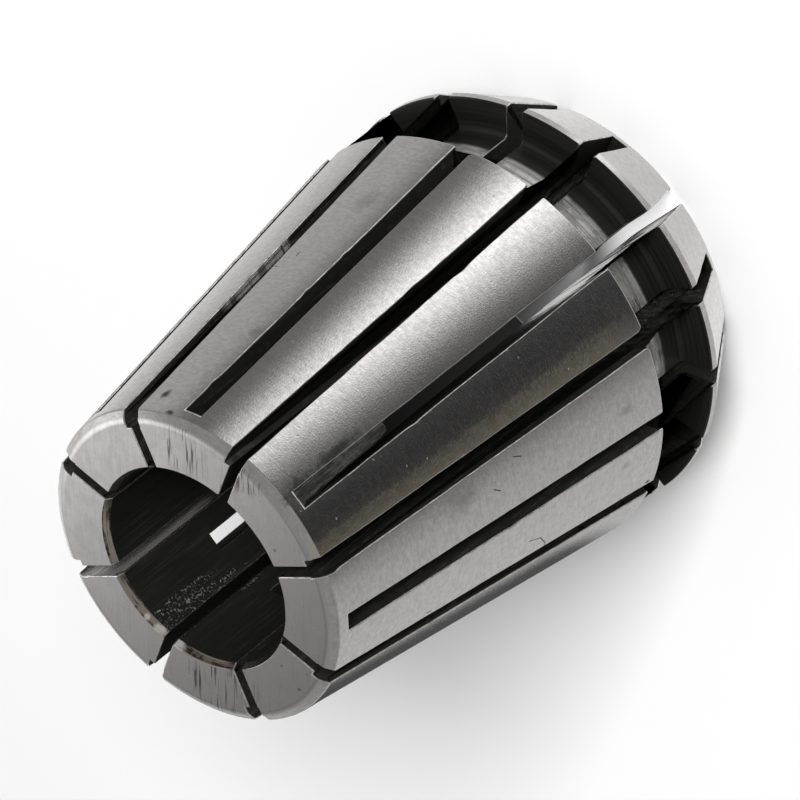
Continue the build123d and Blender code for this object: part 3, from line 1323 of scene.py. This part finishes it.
def addSheet(name, corners, materialName=None):
    sheetMesh = bpy.data.meshes.new(name)
    sheetMesh.from_pydata(corners, [], [(0, 1, 2, 3)])
    sheet = addObject(name, sheetMesh)
    material, tree, shader = newMaterial(materialName or name)
    sheetMesh.materials.append(material)
    sheet.visible_shadow = False
    return sheet, tree, shader


def squareCorners(half):
    return [(-half, -half, 0), (half, -half, 0), (half, half, 0), (-half, half, 0)]


def onlyForGloss(sheet, tree, shader, surface):
    # gives the sheet its own surface, which only glossy faces see
    tree.nodes.remove(shader)
    give(tree, tree.nodes["Material Output"].inputs["Surface"], surface.outputs[0])
    sheet.visible_camera = False
    sheet.visible_diffuse = False


def buildPanel(name, panel):
    # a soft round light
    half = panel["size"] / 2
    sheet, tree, shader = addSheet(name, squareCorners(half))
    place = Vector(panel["place"])
    sheet.location = place
    sheet.rotation_euler = (place - Vector(panel["aim"])).to_track_quat("Z", "Y").to_euler()
    falloff = ranged(tree, vectorCalc(tree, "LENGTH", objectPlace(tree), output=1), half, 0.0)
    shine = addNode(tree, "ShaderNodeEmission", {"Color": falloff, "Strength": panel["shine"]})
    clear = addNode(tree, "ShaderNodeBsdfTransparent")
    both = addNode(tree, "ShaderNodeAddShader", {0: shine.outputs[0], 1: clear.outputs[0]})
    onlyForGloss(sheet, tree, shader, both)


def buildTableShade(shade):
    # a dim card low beside the collet
    (y0, y1), (z0, z1), x = shade["y"], shade["z"], shade["x"]
    sheet, tree, shader = addSheet("tableShade", [(x, y0, z0), (x, y1, z0), (x, y1, z1), (x, y0, z1)])
    acrossX, y, z = apart(tree, objectPlace(tree))
    cover = times(tree, ranged(tree, z, *shade["rise"]), ranged(tree, y, *shade["start"]))
    dim = addNode(tree, "ShaderNodeEmission", {"Color": grey(shade["brightness"]), "Strength": 1.0})
    clear = addNode(tree, "ShaderNodeBsdfTransparent")
    mix = addNode(tree, "ShaderNodeMixShader", {0: cover, 1: clear.outputs[0], 2: dim.outputs[0]})
    onlyForGloss(sheet, tree, shader, mix)


def buildSkyLamp(lamp):
    light = bpy.data.lights.new("sky", "AREA")
    light.size = lamp["size"]
    light.energy = lamp["power"]
    holder = addObject("sky", light)
    holder.location = lamp["place"]
    holder.rotation_euler = Vector(lamp["place"]).to_track_quat("Z", "Y").to_euler()
    holder.visible_glossy = False
    holder.visible_camera = False


def buildFloor(look):
    floor, tree, shader = addSheet("floor", squareCorners(look["half"]), "paleFloor")
    # painted light: a glow on the floor where the slot is seen through
    glow = look["glow"]
    x, y, z = apart(tree, objectPlace(tree))
    along = times(tree, ranged(tree, x, *glow["from"]), ranged(tree, x, *glow["to"]))
    across = ranged(tree, calc(tree, "ABSOLUTE", y), *glow["half"])
    dress(tree, shader, baseColor=grey(look["colour"]), roughness=look["roughness"],
          emissionColor=times(tree, along, across), emissionStrength=glow["shine"])
    floor.visible_glossy = False


buildStudioWorld()
buildFloor(paleFloor)
for name, panel in panels.items():
    buildPanel(name, panel)
buildTableShade(tableShade)
buildSkyLamp(skyLamp)

view = {
    "place": (0.25524025, 0.01791311, 0.22225633),
    "turn": (-37.916406, 37.254669, -48.149940),
    "lens": 269.83,
    "sensor": 36,
    "nearest": 0.01,
}
cameraData = bpy.data.cameras.new("camera")
cameraData.sensor_width = view["sensor"]
cameraData.lens = view["lens"]
cameraData.clip_start = view["nearest"]
camera = addObject("camera", cameraData)
camera.location = view["place"]
camera.rotation_euler = [math.radians(a) for a in view["turn"]]
bpy.context.scene.camera = camera
bpy.context.scene.view_settings.view_transform = "Standard"
print("studio built")
